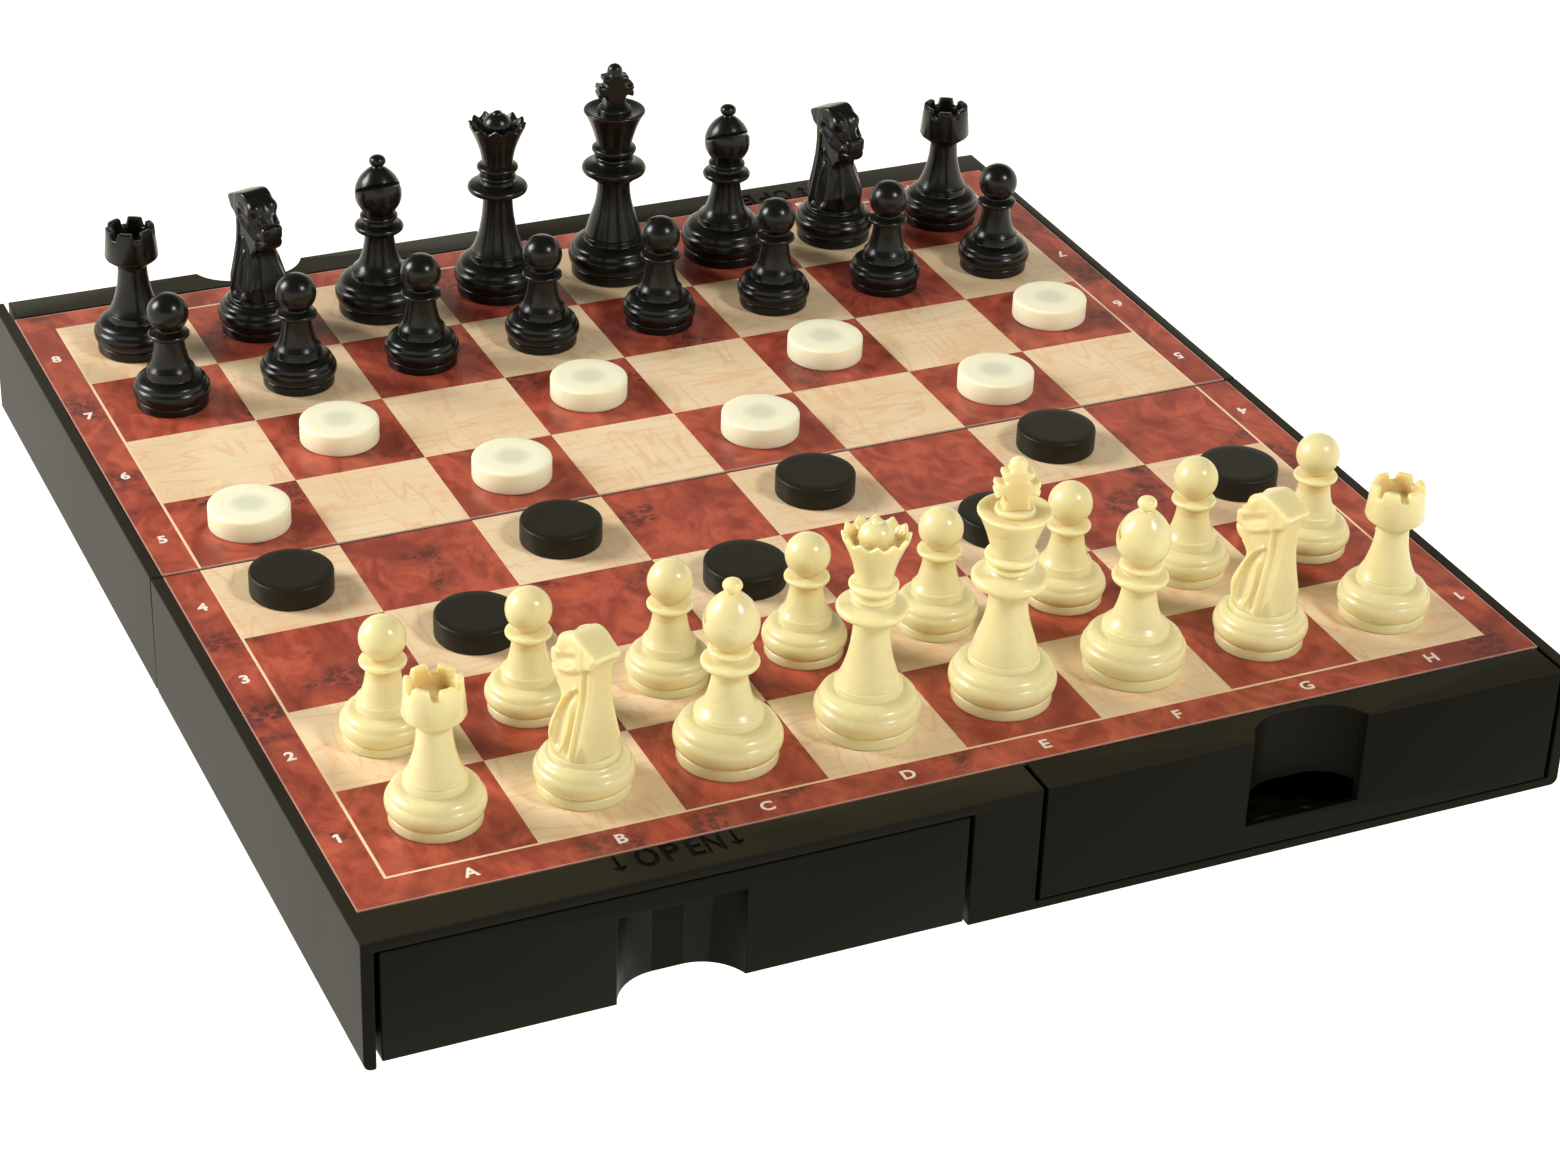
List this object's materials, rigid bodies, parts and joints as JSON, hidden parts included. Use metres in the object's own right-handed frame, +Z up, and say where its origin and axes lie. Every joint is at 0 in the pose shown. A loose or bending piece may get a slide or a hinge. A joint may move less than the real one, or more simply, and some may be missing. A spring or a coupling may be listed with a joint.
{
  "type": "folding board game case",
  "caption": "Flat folding case with a magnetic chequered playing surface on top, drawers in both ends, and chessmen and draughtsmen standing on the squares.",
  "frame": {"origin": "centre of the closed case's underside, on the surface that it lies on", "axes": "+Z up; +Y along the ranks, away from the white side; +X along the files, to white's right"},
  "size_m": [0.306, 0.3228, 0.0972],
  "materials": {
    "case_plastic": "satin",
    "sheet_steel": "rolled",
    "printed_film": "satin printed film",
    "link_plastic": "satin",
    "pin_steel": "drawn",
    "ivory_plastic": "gloss",
    "black_plastic": "gloss",
    "matte_black_plastic": "matte"
  },
  "bodies": {
    "far_half": {"far_case": "case_plastic", "far_steel_plate": "sheet_steel", "far_board_sheet": "printed_film"},
    "links": {"hinge_links": "link_plastic", "hinge_pins": "pin_steel"},
    "near_half": {"near_case": "case_plastic", "near_steel_plate": "sheet_steel", "near_board_sheet": "printed_film"},
    "near_left_drawer": {"near_left_drawer": "case_plastic"},
    "near_right_drawer": {"near_right_drawer": "case_plastic"},
    "far_left_drawer": {"far_left_drawer": "case_plastic"},
    "far_right_drawer": {"far_right_drawer": "case_plastic"},
    "white_rook_a": {"white_rook_a": "ivory_plastic"},
    "white_knight_b": {"white_knight_b": "ivory_plastic"},
    "white_bishop_c": {"white_bishop_c": "ivory_plastic"},
    "white_queen_d": {"white_queen_d": "ivory_plastic"},
    "white_king_e": {"white_king_e": "ivory_plastic"},
    "white_bishop_f": {"white_bishop_f": "ivory_plastic"},
    "white_knight_g": {"white_knight_g": "ivory_plastic"},
    "white_rook_h": {"white_rook_h": "ivory_plastic"},
    "white_pawn_a": {"white_pawn_a": "ivory_plastic"},
    "white_pawn_b": {"white_pawn_b": "ivory_plastic"},
    "white_pawn_c": {"white_pawn_c": "ivory_plastic"},
    "white_pawn_d": {"white_pawn_d": "ivory_plastic"},
    "white_pawn_e": {"white_pawn_e": "ivory_plastic"},
    "white_pawn_f": {"white_pawn_f": "ivory_plastic"},
    "white_pawn_g": {"white_pawn_g": "ivory_plastic"},
    "white_pawn_h": {"white_pawn_h": "ivory_plastic"},
    "black_rook_a": {"black_rook_a": "black_plastic"},
    "black_knight_b": {"black_knight_b": "black_plastic"},
    "black_bishop_c": {"black_bishop_c": "black_plastic"},
    "black_queen_d": {"black_queen_d": "black_plastic"},
    "black_king_e": {"black_king_e": "black_plastic"},
    "black_bishop_f": {"black_bishop_f": "black_plastic"},
    "black_knight_g": {"black_knight_g": "black_plastic"},
    "black_rook_h": {"black_rook_h": "black_plastic"},
    "black_pawn_a": {"black_pawn_a": "black_plastic"},
    "black_pawn_b": {"black_pawn_b": "black_plastic"},
    "black_pawn_c": {"black_pawn_c": "black_plastic"},
    "black_pawn_d": {"black_pawn_d": "black_plastic"},
    "black_pawn_e": {"black_pawn_e": "black_plastic"},
    "black_pawn_f": {"black_pawn_f": "black_plastic"},
    "black_pawn_g": {"black_pawn_g": "black_plastic"},
    "black_pawn_h": {"black_pawn_h": "black_plastic"},
    "white_draught_a5": {"white_draught_a5": "ivory_plastic"},
    "white_draught_c5": {"white_draught_c5": "ivory_plastic"},
    "white_draught_e5": {"white_draught_e5": "ivory_plastic"},
    "white_draught_g5": {"white_draught_g5": "ivory_plastic"},
    "white_draught_b6": {"white_draught_b6": "ivory_plastic"},
    "white_draught_d6": {"white_draught_d6": "ivory_plastic"},
    "white_draught_f6": {"white_draught_f6": "ivory_plastic"},
    "white_draught_h6": {"white_draught_h6": "ivory_plastic"},
    "black_draught_a4": {"black_draught_a4": "matte_black_plastic"},
    "black_draught_c4": {"black_draught_c4": "matte_black_plastic"},
    "black_draught_e4": {"black_draught_e4": "matte_black_plastic"},
    "black_draught_g4": {"black_draught_g4": "matte_black_plastic"},
    "black_draught_b3": {"black_draught_b3": "matte_black_plastic"},
    "black_draught_d3": {"black_draught_d3": "matte_black_plastic"},
    "black_draught_f3": {"black_draught_f3": "matte_black_plastic"},
    "black_draught_h3": {"black_draught_h3": "matte_black_plastic"}
  },
  "joints": [
    {"name": "case_fold", "type": "hinge", "parent": "far_half", "child": "links", "pos_m": [0, 0.00415, 0.004], "axis": [1, 0, 0], "range_deg": [0, 90]},
    {"name": "case_fold_near", "type": "hinge", "parent": "links", "child": "near_half", "pos_m": [0, -0.00415, 0.004], "axis": [1, 0, 0], "range_deg": [0, 90]},
    {"name": "drawer_near_left", "type": "slide", "parent": "near_half", "child": "near_left_drawer", "axis": [0, -1, 0], "range_m": [0, 0.115]},
    {"name": "drawer_near_right", "type": "slide", "parent": "near_half", "child": "near_right_drawer", "axis": [0, -1, 0], "range_m": [0, 0.115]},
    {"name": "drawer_far_left", "type": "slide", "parent": "far_half", "child": "far_left_drawer", "axis": [0, 1, 0], "range_m": [0, 0.115]},
    {"name": "drawer_far_right", "type": "slide", "parent": "far_half", "child": "far_right_drawer", "axis": [0, 1, 0], "range_m": [0, 0.115]},
    {"name": "lift_white_rook_a", "type": "slide", "parent": "near_half", "child": "white_rook_a", "axis": [0, 0, 1], "range_m": [0, 0.1]},
    {"name": "lift_white_knight_b", "type": "slide", "parent": "near_half", "child": "white_knight_b", "axis": [0, 0, 1], "range_m": [0, 0.1]},
    {"name": "lift_white_bishop_c", "type": "slide", "parent": "near_half", "child": "white_bishop_c", "axis": [0, 0, 1], "range_m": [0, 0.1]},
    {"name": "lift_white_queen_d", "type": "slide", "parent": "near_half", "child": "white_queen_d", "axis": [0, 0, 1], "range_m": [0, 0.1]},
    {"name": "lift_white_king_e", "type": "slide", "parent": "near_half", "child": "white_king_e", "axis": [0, 0, 1], "range_m": [0, 0.1]},
    {"name": "lift_white_bishop_f", "type": "slide", "parent": "near_half", "child": "white_bishop_f", "axis": [0, 0, 1], "range_m": [0, 0.1]},
    {"name": "lift_white_knight_g", "type": "slide", "parent": "near_half", "child": "white_knight_g", "axis": [0, 0, 1], "range_m": [0, 0.1]},
    {"name": "lift_white_rook_h", "type": "slide", "parent": "near_half", "child": "white_rook_h", "axis": [0, 0, 1], "range_m": [0, 0.1]},
    {"name": "lift_white_pawn_a", "type": "slide", "parent": "near_half", "child": "white_pawn_a", "axis": [0, 0, 1], "range_m": [0, 0.1]},
    {"name": "lift_white_pawn_b", "type": "slide", "parent": "near_half", "child": "white_pawn_b", "axis": [0, 0, 1], "range_m": [0, 0.1]},
    {"name": "lift_white_pawn_c", "type": "slide", "parent": "near_half", "child": "white_pawn_c", "axis": [0, 0, 1], "range_m": [0, 0.1]},
    {"name": "lift_white_pawn_d", "type": "slide", "parent": "near_half", "child": "white_pawn_d", "axis": [0, 0, 1], "range_m": [0, 0.1]},
    {"name": "lift_white_pawn_e", "type": "slide", "parent": "near_half", "child": "white_pawn_e", "axis": [0, 0, 1], "range_m": [0, 0.1]},
    {"name": "lift_white_pawn_f", "type": "slide", "parent": "near_half", "child": "white_pawn_f", "axis": [0, 0, 1], "range_m": [0, 0.1]},
    {"name": "lift_white_pawn_g", "type": "slide", "parent": "near_half", "child": "white_pawn_g", "axis": [0, 0, 1], "range_m": [0, 0.1]},
    {"name": "lift_white_pawn_h", "type": "slide", "parent": "near_half", "child": "white_pawn_h", "axis": [0, 0, 1], "range_m": [0, 0.1]},
    {"name": "lift_black_rook_a", "type": "slide", "parent": "far_half", "child": "black_rook_a", "axis": [0, 0, 1], "range_m": [0, 0.1]},
    {"name": "lift_black_knight_b", "type": "slide", "parent": "far_half", "child": "black_knight_b", "axis": [0, 0, 1], "range_m": [0, 0.1]},
    {"name": "lift_black_bishop_c", "type": "slide", "parent": "far_half", "child": "black_bishop_c", "axis": [0, 0, 1], "range_m": [0, 0.1]},
    {"name": "lift_black_queen_d", "type": "slide", "parent": "far_half", "child": "black_queen_d", "axis": [0, 0, 1], "range_m": [0, 0.1]},
    {"name": "lift_black_king_e", "type": "slide", "parent": "far_half", "child": "black_king_e", "axis": [0, 0, 1], "range_m": [0, 0.1]},
    {"name": "lift_black_bishop_f", "type": "slide", "parent": "far_half", "child": "black_bishop_f", "axis": [0, 0, 1], "range_m": [0, 0.1]},
    {"name": "lift_black_knight_g", "type": "slide", "parent": "far_half", "child": "black_knight_g", "axis": [0, 0, 1], "range_m": [0, 0.1]},
    {"name": "lift_black_rook_h", "type": "slide", "parent": "far_half", "child": "black_rook_h", "axis": [0, 0, 1], "range_m": [0, 0.1]},
    {"name": "lift_black_pawn_a", "type": "slide", "parent": "far_half", "child": "black_pawn_a", "axis": [0, 0, 1], "range_m": [0, 0.1]},
    {"name": "lift_black_pawn_b", "type": "slide", "parent": "far_half", "child": "black_pawn_b", "axis": [0, 0, 1], "range_m": [0, 0.1]},
    {"name": "lift_black_pawn_c", "type": "slide", "parent": "far_half", "child": "black_pawn_c", "axis": [0, 0, 1], "range_m": [0, 0.1]},
    {"name": "lift_black_pawn_d", "type": "slide", "parent": "far_half", "child": "black_pawn_d", "axis": [0, 0, 1], "range_m": [0, 0.1]},
    {"name": "lift_black_pawn_e", "type": "slide", "parent": "far_half", "child": "black_pawn_e", "axis": [0, 0, 1], "range_m": [0, 0.1]},
    {"name": "lift_black_pawn_f", "type": "slide", "parent": "far_half", "child": "black_pawn_f", "axis": [0, 0, 1], "range_m": [0, 0.1]},
    {"name": "lift_black_pawn_g", "type": "slide", "parent": "far_half", "child": "black_pawn_g", "axis": [0, 0, 1], "range_m": [0, 0.1]},
    {"name": "lift_black_pawn_h", "type": "slide", "parent": "far_half", "child": "black_pawn_h", "axis": [0, 0, 1], "range_m": [0, 0.1]},
    {"name": "lift_white_draught_a5", "type": "slide", "parent": "far_half", "child": "white_draught_a5", "axis": [0, 0, 1], "range_m": [0, 0.1]},
    {"name": "lift_white_draught_c5", "type": "slide", "parent": "far_half", "child": "white_draught_c5", "axis": [0, 0, 1], "range_m": [0, 0.1]},
    {"name": "lift_white_draught_e5", "type": "slide", "parent": "far_half", "child": "white_draught_e5", "axis": [0, 0, 1], "range_m": [0, 0.1]},
    {"name": "lift_white_draught_g5", "type": "slide", "parent": "far_half", "child": "white_draught_g5", "axis": [0, 0, 1], "range_m": [0, 0.1]},
    {"name": "lift_white_draught_b6", "type": "slide", "parent": "far_half", "child": "white_draught_b6", "axis": [0, 0, 1], "range_m": [0, 0.1]},
    {"name": "lift_white_draught_d6", "type": "slide", "parent": "far_half", "child": "white_draught_d6", "axis": [0, 0, 1], "range_m": [0, 0.1]},
    {"name": "lift_white_draught_f6", "type": "slide", "parent": "far_half", "child": "white_draught_f6", "axis": [0, 0, 1], "range_m": [0, 0.1]},
    {"name": "lift_white_draught_h6", "type": "slide", "parent": "far_half", "child": "white_draught_h6", "axis": [0, 0, 1], "range_m": [0, 0.1]},
    {"name": "lift_black_draught_a4", "type": "slide", "parent": "near_half", "child": "black_draught_a4", "axis": [0, 0, 1], "range_m": [0, 0.1]},
    {"name": "lift_black_draught_c4", "type": "slide", "parent": "near_half", "child": "black_draught_c4", "axis": [0, 0, 1], "range_m": [0, 0.1]},
    {"name": "lift_black_draught_e4", "type": "slide", "parent": "near_half", "child": "black_draught_e4", "axis": [0, 0, 1], "range_m": [0, 0.1]},
    {"name": "lift_black_draught_g4", "type": "slide", "parent": "near_half", "child": "black_draught_g4", "axis": [0, 0, 1], "range_m": [0, 0.1]},
    {"name": "lift_black_draught_b3", "type": "slide", "parent": "near_half", "child": "black_draught_b3", "axis": [0, 0, 1], "range_m": [0, 0.1]},
    {"name": "lift_black_draught_d3", "type": "slide", "parent": "near_half", "child": "black_draught_d3", "axis": [0, 0, 1], "range_m": [0, 0.1]},
    {"name": "lift_black_draught_f3", "type": "slide", "parent": "near_half", "child": "black_draught_f3", "axis": [0, 0, 1], "range_m": [0, 0.1]},
    {"name": "lift_black_draught_h3", "type": "slide", "parent": "near_half", "child": "black_draught_h3", "axis": [0, 0, 1], "range_m": [0, 0.1]}
  ],
  "couplings": [
    {"joint": "case_fold_near", "follows": "case_fold", "ratio": 1}
  ]
}
